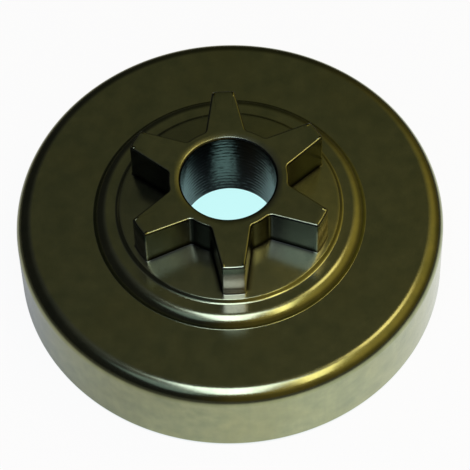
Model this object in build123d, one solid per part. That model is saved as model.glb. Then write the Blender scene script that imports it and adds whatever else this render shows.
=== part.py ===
"""Clutch drum of a chainsaw, one forged and turned steel piece.

The cup stands on its rim, with the clutch shoes' side open below. The chain
sprocket is on top, in one with the drum, and a needle bearing's bore runs
through it. Millimetres, +Z up, origin at the centre of the rim.
"""
import os
from math import radians, tan

from build123d import *

# Cup: the friction drum that the clutch shoes press on
drum_diameter = 63.5
cup_height = 13.5
wall_thickness = 2.4
web_thickness = 2.4
outer_corner_radius = 2.4
inner_corner_chamfer = 2.2
rim_chamfer = 0.4

# Bearing bore and the hub around it
bore_diameter = 14.0
bore_chamfer = 0.4
hub_wall = 1.8
hub_flange = 3.2
hub_drop = 2.2

# Chain sprocket with straight-sided teeth
tooth_count = 6
first_tooth_angle = 30.0
tooth_depth = 6.7
tooth_height = 7.3
tooth_root_width = 5.7
tooth_tip_width = 3.3
valley_radius = 0.8
tooth_edge_chamfer = 0.3

# Raised boss that carries the sprocket: a floor that rises towards the hub, and a low step round it
boss_height = 2.0
boss_draft_angle = 20.0
boss_edge_radius = 2.1
floor_margin = 0.8
floor_rise = 0.6
step_height = 0.5
step_run = 0.45
ledge_width = 1.4

# Radii that follow from the bore outwards
bore_radius = bore_diameter / 2
root_radius = bore_radius + hub_wall
tip_radius = root_radius + tooth_depth
hub_radius = root_radius + hub_flange
floor_radius = tip_radius + floor_margin
ledge_start_radius = floor_radius + step_run
boss_edge_reach = boss_edge_radius * tan(radians(45 - boss_draft_angle / 2))
shoulder_radius = ledge_start_radius + ledge_width + boss_edge_reach
boss_draft = (boss_height - step_height) * tan(radians(boss_draft_angle))
boss_radius = shoulder_radius + boss_draft
outer_radius = drum_diameter / 2
inner_radius = outer_radius - wall_thickness

# Heights that follow from the rim upwards
web_underside = cup_height - web_thickness
hub_bottom = web_underside - hub_drop
floor_height = cup_height + boss_height
ledge_height = floor_height - step_height
hub_floor_height = floor_height + floor_rise
sprocket_top = floor_height + tooth_height

match_tolerance = 0.01


def corner(outline, radius_at, height_at):
    """The outline's vertex at a radius and height of the section."""
    spot = Vector(radius_at, height_at)
    return outline.vertices().sort_by_distance(spot)[0]


def drum_section():
    """Half section of cup, web, hub and boss, with radius along X and height along Y."""
    outline = Polyline(
        (0, hub_bottom),
        (hub_radius, hub_bottom),
        (hub_radius, web_underside),
        (inner_radius - inner_corner_chamfer, web_underside),
        (inner_radius, web_underside - inner_corner_chamfer),
        (inner_radius, rim_chamfer),
        (inner_radius + rim_chamfer, 0),
        (outer_radius - rim_chamfer, 0),
        (outer_radius, rim_chamfer),
        (outer_radius, cup_height),
        (boss_radius, cup_height),
        (shoulder_radius, ledge_height),
        (ledge_start_radius, ledge_height),
        (floor_radius, floor_height),
        (root_radius, hub_floor_height),
        (0, hub_floor_height),
        close=True,
    )
    section = make_face(outline)
    section = fillet(corner(section, outer_radius, cup_height), outer_corner_radius)
    section = fillet(corner(section, shoulder_radius, ledge_height), boss_edge_radius)
    return section


def sprocket_outline():
    """Plan of the sprocket: tapered teeth round the root circle, cut off on the tip circle."""
    flank_taper = (tooth_root_width - tooth_tip_width) / 2 / tooth_depth
    far_radius = tip_radius + tooth_tip_width
    centre_half_width = tooth_root_width / 2 + flank_taper * root_radius
    far_half_width = tooth_tip_width / 2 - flank_taper * tooth_tip_width
    tooth = make_face(Polyline(
        (0, -centre_half_width),
        (far_radius, -far_half_width),
        (far_radius, far_half_width),
        (0, centre_half_width),
        close=True,
    ))
    star = Sketch() + Circle(root_radius)
    for index in range(tooth_count):
        star += Rot(Z=first_tooth_angle + index * 360 / tooth_count) * tooth
    star = star & Circle(tip_radius)
    valley_corners = [v for v in star.vertices() if Vector(v).length < root_radius + match_tolerance]
    return fillet(valley_corners, valley_radius)


def bore_cutter():
    """Round bar through the hub, flared at both mouths to leave the bore's chamfers."""
    flare = bore_radius + bore_chamfer
    outline = Polyline(
        (0, hub_bottom - bore_chamfer),
        (flare + bore_chamfer, hub_bottom - bore_chamfer),
        (bore_radius, hub_bottom + bore_chamfer),
        (bore_radius, sprocket_top - bore_chamfer),
        (flare + bore_chamfer, sprocket_top + bore_chamfer),
        (0, sprocket_top + bore_chamfer),
        close=True,
    )
    return revolve(Plane.XZ * make_face(outline), Axis.Z)


def clutch_drum():
    body = revolve(Plane.XZ * drum_section(), Axis.Z)
    sprocket_reach = sprocket_top - web_underside
    body += Pos(Z=web_underside) * extrude(sprocket_outline(), sprocket_reach)
    top_face = body.faces().sort_by(Axis.Z)[-1]
    body = chamfer(top_face.edges(), tooth_edge_chamfer)
    return body - bore_cutter()


os.makedirs("parts", exist_ok=True)
export_step(clutch_drum(), "parts/clutch_drum.step")
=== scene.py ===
import math

import bpy
import numpy as np
from mathutils import Matrix, Vector, noise


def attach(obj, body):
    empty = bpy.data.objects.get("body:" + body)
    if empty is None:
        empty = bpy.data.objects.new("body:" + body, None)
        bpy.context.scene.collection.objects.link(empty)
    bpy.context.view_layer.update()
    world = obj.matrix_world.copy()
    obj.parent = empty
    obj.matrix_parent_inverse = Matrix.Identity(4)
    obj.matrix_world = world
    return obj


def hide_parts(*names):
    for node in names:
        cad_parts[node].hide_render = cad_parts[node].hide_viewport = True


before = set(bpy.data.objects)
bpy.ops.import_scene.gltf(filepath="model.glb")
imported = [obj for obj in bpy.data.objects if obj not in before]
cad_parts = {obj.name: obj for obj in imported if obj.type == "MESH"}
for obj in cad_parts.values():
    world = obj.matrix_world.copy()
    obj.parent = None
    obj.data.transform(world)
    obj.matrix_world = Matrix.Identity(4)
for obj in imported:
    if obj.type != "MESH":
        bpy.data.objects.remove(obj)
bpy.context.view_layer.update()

MM = 0.001

# Sizes of the drum in millimetres, the same as the solid's
DRUM_RADIUS = 31.75
CUP_HEIGHT = 13.5
WALL = 2.4
WEB = 2.4
OUTER_ROUND = 2.4
INNER_CHAMFER = 2.2
RIM_CHAMFER = 0.4
BORE_RADIUS = 7.0
BORE_CHAMFER = 0.4
HUB_WALL = 1.8
HUB_FLANGE = 3.2
HUB_DROP = 2.2
TOOTH_COUNT = 6
FIRST_TOOTH = math.radians(30.0)
TOOTH_DEPTH = 6.7
TOOTH_HEIGHT = 7.3
TOOTH_ROOT_WIDTH = 5.7
TOOTH_TIP_WIDTH = 3.3
VALLEY_ROUND = 0.8
TOOTH_EDGE = 0.3
BOSS_HEIGHT = 2.0
BOSS_DRAFT = math.radians(20.0)
BOSS_ROUND = 2.1
FLOOR_MARGIN = 0.8
FLOOR_RISE = 0.6
STEP_HEIGHT = 0.5
STEP_RUN = 0.45
LEDGE = 1.4

# Sizes that follow from them
ROOT_RADIUS = BORE_RADIUS + HUB_WALL
TIP_RADIUS = ROOT_RADIUS + TOOTH_DEPTH
HUB_RADIUS = ROOT_RADIUS + HUB_FLANGE
FLOOR_RADIUS = TIP_RADIUS + FLOOR_MARGIN
FLOOR_EDGE = FLOOR_RADIUS - FLOOR_MARGIN / 2
LEDGE_START = FLOOR_RADIUS + STEP_RUN
SHOULDER_RADIUS = LEDGE_START + LEDGE + BOSS_ROUND * math.tan((math.pi / 2 - BOSS_DRAFT) / 2)
BOSS_RADIUS = SHOULDER_RADIUS + (BOSS_HEIGHT - STEP_HEIGHT) * math.tan(BOSS_DRAFT)
INNER_RADIUS = DRUM_RADIUS - WALL
WEB_UNDERSIDE = CUP_HEIGHT - WEB
HUB_BOTTOM = WEB_UNDERSIDE - HUB_DROP
FLOOR_HEIGHT = CUP_HEIGHT + BOSS_HEIGHT
LEDGE_HEIGHT = FLOOR_HEIGHT - STEP_HEIGHT
SPROCKET_TOP = FLOOR_HEIGHT + TOOTH_HEIGHT

# Fine finish of the edges and of the bored wall, in millimetres
EDGE_BREAK = 0.12
TIP_CORNER_ROUND = 0.2
FOOT_ROUND = 0.12
STEP_ROUND = 0.5
INNER_ROUND = 0.7
LIP_WIDTH = 0.5
LIP_DROP = 0.12
EDGE_WEAR = 0.025
BORE_MARK_PITCH = 0.8
BORE_MARK_DEPTH = 0.024

# Cells of noise to a millimetre, in the wear of the edges and in the marks of the bore
EDGE_WEAR_GRAIN = 0.9
BORE_MARK_GRAIN = 1.7

# Points along half a tooth, from the middle of its tip to the middle of the valley
TIP_STEPS = 5
CORNER_STEPS = 4
FLANK_STEPS = 12
VALLEY_STEPS = 6
ROOT_STEPS = 4

# Steps along the rounds of the section, along a quarter round of the teeth and along a bore mark
FINE_STEPS = 3
BROAD_STEPS = 16
QUARTER_STEPS = 5
BORE_MARK_STEPS = 8

# Where loops lie, as shares of the way: over the top from the bore to the teeth's edge, and over the
# floor from the teeth's feet to its own edge
TOP_SHARES = (0, 0.08, 0.5, 0.92)
FLOOR_SHARES = (0, 0.25, 0.5, 0.75)

# Painted shade in the corner at the teeth's feet: its reach in millimetres, and the share left at the tips
FOOT_SHADE_NAME = "foot_shade"
FOOT_SHADE_UP = 1.2
FOOT_SHADE_OUT = 0.66
TIP_SHADE = 0.25
# How far out and up a point may lie and still be in that corner, in millimetres
FOOT_CORNER_OUT = 1.01 * FOOT_ROUND
FOOT_CORNER_UP = 1.5 * FOOT_ROUND

# Painted shade on the upright faces, in millimetres: heights over which it starts on the tips, and radii
# over which the deeper painted shade of the valleys ends
SHADE_HEIGHTS = (SPROCKET_TOP - 2.5, SPROCKET_TOP - 1.5)
VALLEY_RADII = (ROOT_RADIUS + 1.0, ROOT_RADIUS + 3.0)
# Squared upward part of a face's normal: upright up to the first, level from the second
LEVEL_RANGE = (0.5, 0.9)

# Steel colours
OLIVE_DARK = (0.27, 0.31, 0.17)
OLIVE_LIGHT = (0.37, 0.40, 0.215)
STAIN_COLOUR = (0.345, 0.35, 0.16)
STREAK_COLOUR = (0.25, 0.27, 0.165)
# Paler, bluer tint on the upright tip faces: a painted reflection
PAINTED_TIP_REFLECTION = (0.335, 0.312, 0.325)
# Painted shade on the upright faces and, deeper, in the valleys
PAINTED_UPRIGHT_SHADE = (0.056, 0.07, 0.06)
PAINTED_VALLEY_SHADE = (0.015, 0.018, 0.018)
# Painted shade in the bore
PAINTED_BORE_SHADE = (0.14, 0.16, 0.145)
# Painted shade in the corners at the teeth's feet
PAINTED_FOOT_SHADE = (0.02, 0.022, 0.016)

# Steel noise: cells to a metre and detail, the range that counts, and the most that it mixes in
MOTTLE_NOISE = (420.0, 5.0)
MOTTLE_RANGE = (0.3, 0.7)
STAIN_NOISE = (110.0, 3.0)
STAIN_RANGE = (0.45, 0.7)
STAIN_MOST = 0.4
STREAK_NOISE = (1500.0, 2.0)
STREAK_RANGE = (0.35, 0.75)
STREAK_MOST = 0.25
# Streaks are drawn out up the axis, because their noise takes only this share of the height
STREAK_HEIGHT_SHARE = 0.15
GRAIN_NOISE = (2600.0, 2.0)
LINE_NOISE = (3200.0, 2.0)

# Steel finish
ROUGHNESS_RANGE = (0.17, 0.22)
BUMP_STRENGTH = 0.04
BUMP_DISTANCE = 0.05 * MM
FLAT_FACE_WEIGHT = 80

# Paper sheet, just under the rim
PAPER_HALF_WIDTH = 1500.0 * MM
PAPER_HEIGHT = -0.02 * MM

# Paper colours: lit, and under the drum a painted shadow, and its glow beside the drum and, as painted
# pools of light, through the bore
PAPER_WHITE = (0.95, 0.95, 0.95)
# Paper under the drum is a painted shadow
PAPER_PAINTED_SHADOW = (0.15, 0.15, 0.15)
GLOW_BESIDE = (1.0, 1.0, 1.0)
# Glow of the painted pools of light under the drum
PAINTED_POOL_GLOW = (0.6, 1.0, 1.0)
# Share of the white that the paper gives to the camera as its own glow
CAMERA_GLOW = 0.94

# Patches of paper round the drum, and painted pools of light seen through the bore from above and from the
# front, and mirrored in the bore. Each has its centre, the radius that is full and the radius where it
# ends, in millimetres
ORIGIN = (0, 0, 0)
NEAR_PATCH = (ORIGIN, 45.0, 70.0)
UNDER_BORE_PATCH = (ORIGIN, 6.5, 8.0)
BEHIND_BORE_PATCH = ((0, 10.0, 0), 5.6, 7.7)
MIRRORED_PATCH = ((1.0, -4.0, 0), 2.0, 4.5)
# Share of the painted pool of light behind the bore that the metal mirrors
BEHIND_BORE_SHARE = 0.6
# Radii over which the painted shadow under the drum ends, in millimetres
RIM_SHADE_RADII = (0.97 * DRUM_RADIUS, DRUM_RADIUS)
# What the metal sees of the paper on the left, under a painted shadow, and where it gets to the full, in
# millimetres along X
LEFT_GLOW = 0.2
LEFT_RANGE = (-20.0, 12.0)

# Room colours, and the range of a direction over which each one takes over
ROOM_LEFT = (0.056, 0.054, 0.062)
ROOM_MIDDLE = (0.085, 0.08, 0.048)
ROOM_RIGHT = (0.47, 0.345, 0.094)
ROOM_MIDDLE_RANGE = (-0.36, 0.04)
ROOM_RIGHT_RANGE = (-0.05, 0.42)
ROOM_RIGHT_BACKWARD = -0.3
# Room strength near the ground, which grows to one upwards and a little to the right
GROUND_STRENGTH = 0.3
ROOM_UP_RANGE = (0.5, 0.82)
ROOM_UP_RIGHTWARD = 0.3

# Height of the softboxes in metres
SOFTBOX_HEIGHT = 0.48

# Camera as the photograph's: angles in degrees, lengths in millimetres
CAMERA_AZIMUTH = -1.12
CAMERA_ELEVATION = 58.23
CAMERA_ROLL = -1.89
CAMERA_DISTANCE = 446.2
CAMERA_TARGET = (0.67, -1.57, 9.62)
CAMERA_LENS = 224.6
CAMERA_SENSOR = 36.0
CAMERA_NEAREST = 20.0


def metres(*lengths):
    """Lengths in millimetres as a tuple in metres."""
    return tuple(length * MM for length in lengths)


def arc_points(centre, start, end, radius, steps):
    """Points on a circle from one point to another, the short way, without the last one."""
    first = math.atan2(start[1] - centre[1], start[0] - centre[0])
    turn = math.atan2(end[1] - centre[1], end[0] - centre[0]) - first
    turn = (turn + math.pi) % (2 * math.pi) - math.pi
    angles = first + turn * np.arange(steps) / steps
    return np.stack([centre[0] + radius * np.cos(angles), centre[1] + radius * np.sin(angles)], 1)


def half_tooth():
    """Points and outward normals from the middle of the tip, on +X, to the middle of the valley."""
    along = np.array([TOOTH_DEPTH, (TOOTH_TIP_WIDTH - TOOTH_ROOT_WIDTH) / 2])
    along = along / np.linalg.norm(along)
    away = np.array([-along[1], along[0]])
    offset = away @ np.array([ROOT_RADIUS, TOOTH_ROOT_WIDTH / 2])

    def round_centre(level, reach):
        """The point so far from the flank's parallel through the axis, and so far from the axis."""
        return away * level + along * math.sqrt(reach ** 2 - level ** 2)

    corner = round_centre(offset - TIP_CORNER_ROUND, TIP_RADIUS - TIP_CORNER_ROUND)
    valley = round_centre(offset + VALLEY_ROUND, ROOT_RADIUS + VALLEY_ROUND)
    tip_middle = np.array([TIP_RADIUS, 0.0])
    tip_end = corner / np.linalg.norm(corner) * TIP_RADIUS
    flank_start = corner + away * TIP_CORNER_ROUND
    flank_end = valley - away * VALLEY_ROUND
    root_start = valley / np.linalg.norm(valley) * ROOT_RADIUS
    half_pitch = math.pi / TOOTH_COUNT
    root_middle = ROOT_RADIUS * np.array([math.cos(half_pitch), math.sin(half_pitch)])
    centre = np.zeros(2)

    tip = arc_points(centre, tip_middle, tip_end, TIP_RADIUS, TIP_STEPS)
    corner_arc = arc_points(corner, tip_end, flank_start, TIP_CORNER_ROUND, CORNER_STEPS)
    share = np.arange(FLANK_STEPS)[:, None] / FLANK_STEPS
    flank = flank_start + (flank_end - flank_start) * share
    valley_arc = arc_points(valley, flank_end, root_start, VALLEY_ROUND, VALLEY_STEPS)
    root = arc_points(centre, root_start, root_middle, ROOT_RADIUS, ROOT_STEPS)
    points = np.concatenate([tip, corner_arc, flank, valley_arc, root, root_middle[None]])
    normals = np.concatenate([
        tip / TIP_RADIUS,
        (corner_arc - corner) / TIP_CORNER_ROUND,
        np.tile(away, (FLANK_STEPS, 1)),
        (valley - valley_arc) / VALLEY_ROUND,
        root / ROOT_RADIUS,
        root_middle[None] / ROOT_RADIUS,
    ])
    return points, normals


def sprocket_outline():
    """The whole outline, anticlockwise, as points and outward normals."""
    points, normals = half_tooth()
    mirror = np.array([1.0, -1.0])
    tooth_points = np.concatenate([points[:0:-1] * mirror, points[:-1]])
    tooth_normals = np.concatenate([normals[:0:-1] * mirror, normals[:-1]])
    all_points = []
    all_normals = []
    for index in range(TOOTH_COUNT):
        angle = FIRST_TOOTH + index * 2 * math.pi / TOOTH_COUNT
        turn = np.array([[math.cos(angle), math.sin(angle)], [-math.sin(angle), math.cos(angle)]])
        all_points.append(tooth_points @ turn)
        all_normals.append(tooth_normals @ turn)
    return np.concatenate(all_points), np.concatenate(all_normals)


OUTLINE, OUTLINE_NORMAL = sprocket_outline()
COLUMNS = len(OUTLINE)
# Circles are evenly divided and start, as the outline does, in the valley before the first tooth
ANGLE = FIRST_TOOTH - math.pi / TOOTH_COUNT + np.arange(COLUMNS) * 2 * math.pi / COLUMNS
RADIAL = np.stack([np.cos(ANGLE), np.sin(ANGLE)], 1)


def row(plan, height):
    """One loop of the mesh from its plan points and its height, a number or one for each point."""
    return np.column_stack([plan, np.broadcast_to(height, COLUMNS)])


def circle_row(radius, height):
    """One loop of the mesh round the axis, with one radius or one for each point."""
    return row(RADIAL * np.reshape(radius, (-1, 1)), height)


def rounded_section(corners):
    """Radius and height along a section of straight runs, with each corner rounded.

    A corner is (radius, height, size of its round, steps); a round of 0 leaves a point.
    """
    section = []
    for index, (radius, height, size, steps) in enumerate(corners):
        here = np.array([radius, height])
        if size == 0:
            section.append(here)
            continue
        before = np.array(corners[index - 1][:2]) - here
        after = np.array(corners[index + 1][:2]) - here
        before = before / np.linalg.norm(before)
        after = after / np.linalg.norm(after)
        half_turn = math.acos(np.clip(before @ after, -1, 1)) / 2
        bisector = (before + after) / np.linalg.norm(before + after)
        centre = here + bisector * size / math.sin(half_turn)
        start = here + before * size / math.tan(half_turn)
        end = here + after * size / math.tan(half_turn)
        section.extend(arc_points(centre, start, end, size, steps))
        section.append(end)
    return section


def floor_level(radius):
    """Height of the floor between the teeth, which rises from its edge to the hub."""
    return FLOOR_HEIGHT + FLOOR_RISE * (FLOOR_RADIUS - radius) / (FLOOR_RADIUS - ROOT_RADIUS)


def body_rows():
    """Loops from the sprocket's floor outwards, round the cup and in to the bore's lower mouth."""
    corners = [
        (FLOOR_EDGE, floor_level(FLOOR_EDGE), 0, 0),
        (FLOOR_RADIUS, FLOOR_HEIGHT, EDGE_BREAK, FINE_STEPS),
        (LEDGE_START, LEDGE_HEIGHT, STEP_ROUND, QUARTER_STEPS),
        (SHOULDER_RADIUS, LEDGE_HEIGHT, BOSS_ROUND, BROAD_STEPS),
        (BOSS_RADIUS, CUP_HEIGHT, EDGE_BREAK, FINE_STEPS),
        (DRUM_RADIUS, CUP_HEIGHT, OUTER_ROUND, BROAD_STEPS),
        (DRUM_RADIUS, RIM_CHAMFER, EDGE_BREAK, FINE_STEPS),
        (DRUM_RADIUS - RIM_CHAMFER, 0, EDGE_BREAK, FINE_STEPS),
        (INNER_RADIUS + RIM_CHAMFER, 0, EDGE_BREAK, FINE_STEPS),
        (INNER_RADIUS, RIM_CHAMFER, EDGE_BREAK, FINE_STEPS),
        (INNER_RADIUS, WEB_UNDERSIDE - INNER_CHAMFER, INNER_ROUND, FINE_STEPS),
        (INNER_RADIUS - INNER_CHAMFER, WEB_UNDERSIDE, INNER_ROUND, FINE_STEPS),
        (HUB_RADIUS, WEB_UNDERSIDE, EDGE_BREAK, FINE_STEPS),
        (HUB_RADIUS, HUB_BOTTOM, EDGE_BREAK, FINE_STEPS),
        (BORE_RADIUS + BORE_CHAMFER, HUB_BOTTOM, 0, 0),
    ]
    return [circle_row(radius, height) for radius, height in rounded_section(corners)]


def bore_rows():
    """Loops up the bore, with the shallow helical marks of the boring tool, and over its lip."""
    low = HUB_BOTTOM + BORE_CHAMFER
    high = SPROCKET_TOP - BORE_CHAMFER
    marks = (high - low) / BORE_MARK_PITCH
    spots = RADIAL * BORE_RADIUS * BORE_MARK_GRAIN
    rows = []
    for height in np.linspace(low, high, round(marks * BORE_MARK_STEPS)):
        turns = height / BORE_MARK_PITCH - ANGLE / (2 * math.pi)
        fade = min(1.0, (height - low) / BORE_MARK_PITCH, (high - height) / BORE_MARK_PITCH)
        ripple = 0.5 - 0.5 * np.cos(2 * math.pi * turns)
        chatter = np.array([0.5 + noise.noise(Vector((x, y, height * BORE_MARK_GRAIN))) for x, y in spots])
        rows.append(circle_row(BORE_RADIUS + BORE_MARK_DEPTH * fade * ripple * chatter, height))
    lip = rounded_section([
        (BORE_RADIUS, high, 0, 0),
        (BORE_RADIUS + BORE_CHAMFER - LIP_DROP, SPROCKET_TOP - LIP_DROP, EDGE_BREAK, FINE_STEPS),
        (BORE_RADIUS + BORE_CHAMFER + LIP_WIDTH, SPROCKET_TOP, 0, 0),
    ])
    rows += [circle_row(radius, height) for radius, height in lip[1:-1]]
    return rows


def edge_wear():
    """Small unevenness along the sprocket's top edge, the same on every run."""
    spots = OUTLINE * EDGE_WEAR_GRAIN
    wear = [noise.noise(Vector((x, y, SPROCKET_TOP))) for x, y in spots]
    return np.array(wear)[:, None] * EDGE_WEAR


def at_tips(plan):
    """Which of the outline's points lie on the teeth's tips."""
    return np.linalg.norm(plan, axis=1) > TIP_RADIUS - TIP_CORNER_ROUND


def sprocket_rows():
    """Loops from the bore's upper mouth over the sprocket's top, down its flanks and onto the floor."""
    edge = TOOTH_EDGE + edge_wear()
    mouth = RADIAL * (BORE_RADIUS + BORE_CHAMFER + LIP_WIDTH)
    inset = OUTLINE - OUTLINE_NORMAL * edge
    rows = [row(mouth + (inset - mouth) * share, SPROCKET_TOP) for share in TOP_SHARES]
    quarter = np.linspace(0, math.pi / 2, QUARTER_STEPS + 1)
    for turn in quarter:
        height = SPROCKET_TOP - TOOTH_EDGE * (1 - math.cos(turn))
        rows.append(row(OUTLINE - OUTLINE_NORMAL * edge * (1 - math.sin(turn)), height))
    foot = OUTLINE + OUTLINE_NORMAL * FOOT_ROUND
    foot_level = floor_level(np.linalg.norm(foot, axis=1))
    rows.append(row(OUTLINE, foot_level + FOOT_SHADE_UP))
    for turn in quarter:
        height = foot_level + FOOT_ROUND * (1 - math.sin(turn))
        rows.append(row(OUTLINE + OUTLINE_NORMAL * FOOT_ROUND * (1 - math.cos(turn)), height))
    apron = foot + OUTLINE_NORMAL * np.where(at_tips(OUTLINE), FOOT_ROUND, FOOT_SHADE_OUT)[:, None]
    rim = RADIAL * FLOOR_EDGE
    for share in FLOOR_SHARES:
        plan = apron + (rim - apron) * share
        rows.append(row(plan, floor_level(np.linalg.norm(plan, axis=1))))
    return rows


def foot_shades(rows):
    """How dark the painted shade is at each point: full in the corner at the teeth's feet, less at their
    tips.
    """
    plan = np.concatenate(rows)[:, :2]
    height = np.concatenate(rows)[:, 2]
    foot = np.tile(OUTLINE, (len(rows), 1))
    out = np.linalg.norm(plan - foot, axis=1)
    up = height - floor_level(np.linalg.norm(plan, axis=1))
    in_corner = (out < FOOT_CORNER_OUT) & (np.abs(up) < FOOT_CORNER_UP)
    return np.where(in_corner, np.where(at_tips(foot), TIP_SHADE, 1.0), 0.0)


def drum_mesh():
    """The whole drum as one closed mesh of quads: loops round the axis, joined in a ring."""
    rows = body_rows() + bore_rows() + sprocket_rows()
    points = np.concatenate(rows) * MM
    first = np.arange(len(rows))[:, None] * COLUMNS
    second = np.roll(first, -1, axis=0)
    column = np.arange(COLUMNS)[None, :]
    beside = np.roll(column, -1, axis=1)
    quads = np.stack([first + column, second + column, second + beside, first + beside], -1)
    mesh = bpy.data.meshes.new("clutch_drum_skin")
    mesh.from_pydata(points.tolist(), [], quads.reshape(-1, 4).tolist())
    mesh.validate()
    mesh.shade_smooth()
    # Painted shade in the corners at the teeth's feet, for the material
    shade = mesh.attributes.new(FOOT_SHADE_NAME, "FLOAT", "POINT")
    shade.data.foreach_set("value", foot_shades(rows))
    return mesh


class Shading:
    """Adds nodes to a node tree and links them."""

    def __init__(self, node_tree):
        self.nodes = node_tree.nodes
        self.links = node_tree.links

    def feed(self, socket, value):
        """Sets an input to a colour or a number, or links it to another node's output."""
        if isinstance(value, bpy.types.NodeSocket):
            self.links.new(value, socket)
        elif isinstance(value, tuple):
            socket.default_value = (*value, 1)
        else:
            socket.default_value = value

    def noise(self, vector, cells, detail):
        """Noise along a vector in metres, with so many cells to a metre."""
        node = self.nodes.new("ShaderNodeTexNoise")
        node.inputs["Scale"].default_value = cells
        node.inputs["Detail"].default_value = detail
        self.links.new(vector, node.inputs["Vector"])
        return node.outputs["Fac"]

    def mapped(self, value, source, low=0.0, high=1.0):
        """A value carried from one range into another, held at the ends."""
        node = self.nodes.new("ShaderNodeMapRange")
        node.inputs["From Min"].default_value, node.inputs["From Max"].default_value = source
        node.inputs["To Min"].default_value = low
        node.inputs["To Max"].default_value = high
        self.links.new(value, node.inputs["Value"])
        return node.outputs["Result"]

    def mixed(self, share, first, second):
        """Two colours mixed by a share of the second."""
        node = self.nodes.new("ShaderNodeMix")
        node.data_type = "RGBA"
        colours = [socket for socket in node.inputs if socket.type == "RGBA"]
        self.feed(colours[0], first)
        self.feed(colours[1], second)
        self.feed(node.inputs["Factor"], share)
        return next(socket for socket in node.outputs if socket.type == "RGBA")

    def combined(self, operation, first, *others):
        """Outputs and numbers taken together, one after another, as a maximum, a product or a sum."""
        result = first
        for other in others:
            node = self.nodes.new("ShaderNodeMath")
            node.operation = operation
            self.feed(node.inputs[0], result)
            self.feed(node.inputs[1], other)
            result = node.outputs[0]
        return result

    def vector_node(self, operation, vector, constant):
        """A vector node of a vector and a constant one."""
        node = self.nodes.new("ShaderNodeVectorMath")
        node.operation = operation
        node.inputs[1].default_value = constant
        self.links.new(vector, node.inputs[0])
        return node.outputs

    def distance(self, position, centre):
        """Distance of a position from a point."""
        return self.vector_node("DISTANCE", position, centre)["Value"]

    def stretched(self, position, shares):
        """A position with a share of each of its coordinates."""
        return self.vector_node("MULTIPLY", position, shares)["Vector"]

    def coordinates(self, vector):
        """The outputs X, Y and Z of a vector."""
        node = self.nodes.new("ShaderNodeSeparateXYZ")
        self.links.new(vector, node.inputs[0])
        return node.outputs


def new_material(name):
    """A material with no nodes yet, and what adds nodes to it."""
    material = bpy.data.materials.new(name)
    material.use_nodes = True
    material.node_tree.nodes.clear()
    return material, Shading(material.node_tree)


def upright_share(tree):
    """One on upright faces, none on level ones."""
    geometry = tree.nodes.new("ShaderNodeNewGeometry")
    upward = tree.coordinates(geometry.outputs["True Normal"])["Z"]
    return tree.mapped(tree.combined("MULTIPLY", upward, upward), LEVEL_RANGE, 1.0, 0.0)


def olive_colour(tree, position):
    """Olive of the heat-treated steel: mottled, stained and faintly streaked along the axis."""
    mottle = tree.mapped(tree.noise(position, *MOTTLE_NOISE), MOTTLE_RANGE)
    colour = tree.mixed(mottle, OLIVE_DARK, OLIVE_LIGHT)
    stain = tree.mapped(tree.noise(position, *STAIN_NOISE), STAIN_RANGE, 0.0, STAIN_MOST)
    colour = tree.mixed(stain, colour, STAIN_COLOUR)
    drawn_out = tree.stretched(position, (1, 1, STREAK_HEIGHT_SHARE))
    streak = tree.mapped(tree.noise(drawn_out, *STREAK_NOISE), STREAK_RANGE, 0.0, STREAK_MOST)
    return tree.mixed(streak, colour, STREAK_COLOUR)


def steel_colour(tree, position, radius, height):
    """Olive, with a paler, bluer painted reflection on the tip faces, and painted shade on the flanks, in
    the valleys, in the bore and at the feet.
    """
    upright = upright_share(tree)
    # Paler, bluer tint on the upright tip faces: a painted reflection of what they mirror
    tip_edge = metres(TIP_RADIUS - TOOTH_EDGE, TIP_RADIUS)
    at_tip = tree.mapped(radius, tip_edge)
    short_of_boss = tree.mapped(radius, metres(TIP_RADIUS, FLOOR_EDGE), 1.0, 0.0)
    tip_reflection = tree.combined("MULTIPLY", at_tip, short_of_boss, upright)
    colour = tree.mixed(tip_reflection, olive_colour(tree, position), PAINTED_TIP_REFLECTION)

    # Painted shade on the upright faces within the tips and high on the tips, deeper in the valleys
    within_tips = tree.mapped(radius, tip_edge, 1.0, 0.0)
    high_up = tree.mapped(height, metres(*SHADE_HEIGHTS))
    upright_shaded = tree.combined("MULTIPLY", tree.combined("MAXIMUM", within_tips, high_up), upright)
    in_valley = tree.mapped(radius, metres(*VALLEY_RADII), 1.0, 0.0)
    colour = tree.mixed(upright_shaded, colour, tree.mixed(in_valley, PAINTED_UPRIGHT_SHADE, PAINTED_VALLEY_SHADE))

    # Painted shade on the bore's wall
    in_bore = tree.mapped(radius, metres(BORE_RADIUS + EDGE_BREAK, ROOT_RADIUS), 1.0, 0.0)
    bore_shaded = tree.combined("MULTIPLY", in_bore, upright)
    colour = tree.mixed(bore_shaded, colour, PAINTED_BORE_SHADE)
    # Painted shade in the corners at the teeth's feet
    foot_shade = tree.nodes.new("ShaderNodeAttribute")
    foot_shade.attribute_name = FOOT_SHADE_NAME
    return tree.mixed(foot_shade.outputs["Fac"], colour, PAINTED_FOOT_SHADE)


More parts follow.
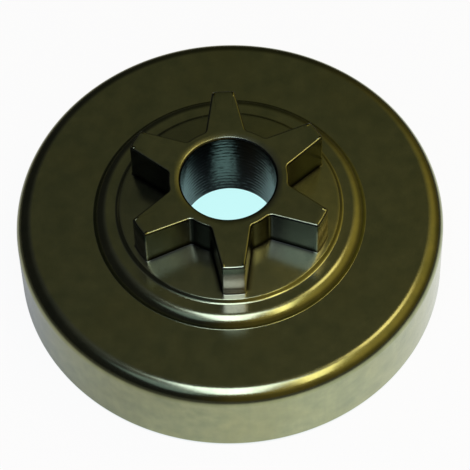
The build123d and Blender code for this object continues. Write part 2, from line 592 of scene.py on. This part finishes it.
def steel_material():
    """Dark olive heat-treated steel, satin, with a fine grain and fine turned lines round the axis."""
    material, tree = new_material("olive_steel")
    output = tree.nodes.new("ShaderNodeOutputMaterial")
    shader = tree.nodes.new("ShaderNodeBsdfPrincipled")
    shader.inputs["Metallic"].default_value = 1.0
    position = tree.nodes.new("ShaderNodeTexCoord").outputs["Object"]
    height = tree.coordinates(position)["Z"]
    radius = tree.distance(tree.stretched(position, (1, 1, 0)), ORIGIN)

    grain = tree.noise(position, *GRAIN_NOISE)
    section = tree.nodes.new("ShaderNodeCombineXYZ")
    tree.feed(section.inputs["X"], radius)
    tree.feed(section.inputs["Y"], height)
    lines = tree.noise(section.outputs["Vector"], *LINE_NOISE)
    bump = tree.nodes.new("ShaderNodeBump")
    bump.inputs["Strength"].default_value = BUMP_STRENGTH
    bump.inputs["Distance"].default_value = BUMP_DISTANCE
    tree.feed(bump.inputs["Height"], tree.combined("ADD", grain, lines))

    tree.feed(shader.inputs["Base Color"], steel_colour(tree, position, radius, height))
    tree.feed(shader.inputs["Roughness"], tree.mapped(grain, (0.0, 1.0), *ROUGHNESS_RANGE))
    tree.feed(shader.inputs["Normal"], bump.outputs["Normal"])
    tree.feed(output.inputs["Surface"], shader.outputs["BSDF"])
    return material


def paper_material():
    """White paper that keeps the drum's shadow and is white to the camera and to the metal beside it.

    Under the drum it is dark, a painted shadow, apart from glowing painted pools of light where light
    reaches through the bore. The metal sees it dimmer on the left, a painted shadow, and not at all far
    off.
    """
    material, tree = new_material("white_paper")
    output = tree.nodes.new("ShaderNodeOutputMaterial")
    position = tree.nodes.new("ShaderNodeTexCoord").outputs["Object"]
    path = tree.nodes.new("ShaderNodeLightPath").outputs

    def patch(centre, full, none):
        """One within a distance in millimetres of a point, none beyond a larger one."""
        return tree.mapped(tree.distance(position, metres(*centre)), metres(full, none), 1.0, 0.0)

    # Painted shadow under the drum, and painted pools of light on it where light reaches through the bore
    outside = tree.mapped(tree.distance(position, ORIGIN), metres(*RIM_SHADE_RADII))
    behind_bore = patch(*BEHIND_BORE_PATCH)
    lit_to_camera = tree.combined("MAXIMUM", outside, behind_bore, patch(*UNDER_BORE_PATCH))
    behind_in_metal = tree.combined("MULTIPLY", behind_bore, BEHIND_BORE_SHARE)
    lit_to_metal = tree.combined("MAXIMUM", outside, behind_in_metal, patch(*MIRRORED_PATCH))
    near = patch(*NEAR_PATCH)
    # Painted shadow of the drum on the left, seen only in the metal
    from_left = tree.mapped(tree.coordinates(position)["X"], metres(*LEFT_RANGE), LEFT_GLOW)

    white_to_camera = tree.combined("MULTIPLY", lit_to_camera, path["Is Camera Ray"])
    white_nearby = tree.combined("MULTIPLY", lit_to_metal, near)
    white = tree.combined("MAXIMUM", white_nearby, white_to_camera)
    diffuse = tree.nodes.new("ShaderNodeBsdfDiffuse")
    tree.feed(diffuse.inputs["Color"], tree.mixed(white, PAPER_PAINTED_SHADOW, PAPER_WHITE))

    # Glow: white beside the drum, cyan in the painted pools of light under it
    glow = tree.nodes.new("ShaderNodeEmission")
    tree.feed(glow.inputs["Color"], tree.mixed(outside, PAINTED_POOL_GLOW, GLOW_BESIDE))
    to_metal = tree.combined("MAXIMUM", path["Is Glossy Ray"], path["Is Transmission Ray"])
    glow_to_metal = tree.combined("MULTIPLY", to_metal, near, from_left, lit_to_metal)
    glow_to_camera = tree.combined("MULTIPLY", path["Is Camera Ray"], CAMERA_GLOW, lit_to_camera)
    mix = tree.nodes.new("ShaderNodeMixShader")
    tree.feed(mix.inputs["Fac"], tree.combined("MAXIMUM", glow_to_camera, glow_to_metal))
    tree.feed(mix.inputs[1], diffuse.outputs["BSDF"])
    tree.feed(mix.inputs[2], glow.outputs["Emission"])
    tree.feed(output.inputs["Surface"], mix.outputs["Shader"])
    return material


def add_object(name, data):
    """A new object in the scene."""
    piece = bpy.data.objects.new(name, data)
    bpy.context.scene.collection.objects.link(piece)
    return piece


def add_drum():
    """The drum, which stands for the solid."""
    drum = add_object("clutch_drum_skin", drum_mesh())
    drum.data.materials.append(steel_material())
    weighted = drum.modifiers.new("flat_faces_stay_flat", "WEIGHTED_NORMAL")
    weighted.weight = FLAT_FACE_WEIGHT
    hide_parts("clutch_drum")
    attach(drum, "root")


def add_floor():
    """One large sheet of paper under the drum."""
    half = PAPER_HALF_WIDTH
    plan = [(-half, -half), (half, -half), (half, half), (-half, half)]
    corners = [(x, y, PAPER_HEIGHT) for x, y in plan]
    mesh = bpy.data.meshes.new("paper_floor")
    mesh.from_pydata(corners, [], [(0, 1, 2, 3)])
    mesh.materials.append(paper_material())
    add_object("paper_floor", mesh)


def add_room():
    """A dim room: dark on the left, warm on the right, and darker towards the ground."""
    world = bpy.data.worlds.new("dim_room")
    world.use_nodes = True
    tree = Shading(world.node_tree)
    direction = tree.coordinates(tree.nodes.new("ShaderNodeTexCoord").outputs["Generated"])
    to_middle = tree.mapped(direction["X"], ROOM_MIDDLE_RANGE)
    backward = tree.combined("MULTIPLY", direction["Y"], ROOM_RIGHT_BACKWARD)
    to_right = tree.mapped(tree.combined("ADD", direction["X"], backward), ROOM_RIGHT_RANGE)
    rightward = tree.combined("MULTIPLY", direction["X"], ROOM_UP_RIGHTWARD)
    upward = tree.combined("ADD", direction["Z"], rightward)
    background = tree.nodes["Background"]
    colour = tree.mixed(to_right, tree.mixed(to_middle, ROOM_LEFT, ROOM_MIDDLE), ROOM_RIGHT)
    tree.feed(background.inputs["Color"], colour)
    tree.feed(background.inputs["Strength"], tree.mapped(upward, ROOM_UP_RANGE, GROUND_STRENGTH))
    bpy.context.scene.world = world


def add_softbox(name, place, size, turn, radiance, colour):
    """A rectangular lamp of an even brightness that faces straight down, turned about the vertical.

    Place and size are in metres, and the turn is in degrees.
    """
    lamp = bpy.data.lights.new(name, "AREA")
    lamp.shape = "RECTANGLE"
    lamp.size, lamp.size_y = size
    lamp.energy = radiance * math.pi * lamp.size * lamp.size_y
    lamp.color = colour
    holder = add_object(name, lamp)
    holder.location = (*place, SOFTBOX_HEIGHT)
    holder.rotation_euler = (0, 0, math.radians(turn))


def add_light():
    """A cool softbox in front with a dim one beside it, two warm ones on the right, and the room."""
    add_softbox(
        "cool_panel",
        place=(-0.015, -0.195),
        size=(0.17, 0.41),
        turn=0.0,
        radiance=5.4,
        colour=(0.64, 0.7, 1),
    )
    add_softbox(
        "cool_side_panel",
        place=(-0.25, -0.38),
        size=(0.22, 0.45),
        turn=0.0,
        radiance=0.5,
        colour=(0.55, 0.72, 1),
    )
    add_softbox(
        "warm_front_panel",
        place=(0.21, -0.215),
        size=(0.41, 0.09),
        turn=-64.0,
        radiance=3.6,
        colour=(1, 0.85, 0.48),
    )
    add_softbox(
        "warm_right_panel",
        place=(0.205, 0.095),
        size=(0.16, 0.12),
        turn=-35.0,
        radiance=2.8,
        colour=(1, 0.78, 0.44),
    )
    add_room()


def add_camera():
    """Camera at the photograph's angle: place, aim, lens and a slight roll."""
    azimuth = math.radians(CAMERA_AZIMUTH)
    elevation = math.radians(CAMERA_ELEVATION)
    camera = bpy.data.cameras.new("photo_camera")
    camera.sensor_width = CAMERA_SENSOR
    camera.lens = CAMERA_LENS
    camera.clip_start = CAMERA_NEAREST * MM
    holder = add_object("photo_camera", camera)
    level = math.cos(elevation)
    holder.location = CAMERA_DISTANCE * MM * Vector((
        math.sin(azimuth) * level,
        -math.cos(azimuth) * level,
        math.sin(elevation),
    ))
    sight = Vector(metres(*CAMERA_TARGET)) - holder.location
    roll = Matrix.Rotation(math.radians(CAMERA_ROLL), 3, "Z").to_quaternion()
    holder.rotation_mode = "QUATERNION"
    holder.rotation_quaternion = sight.to_track_quat("-Z", "Y") @ roll
    bpy.context.scene.camera = holder


add_drum()
add_floor()
add_light()
add_camera()
bpy.context.scene.view_settings.view_transform = "Standard"
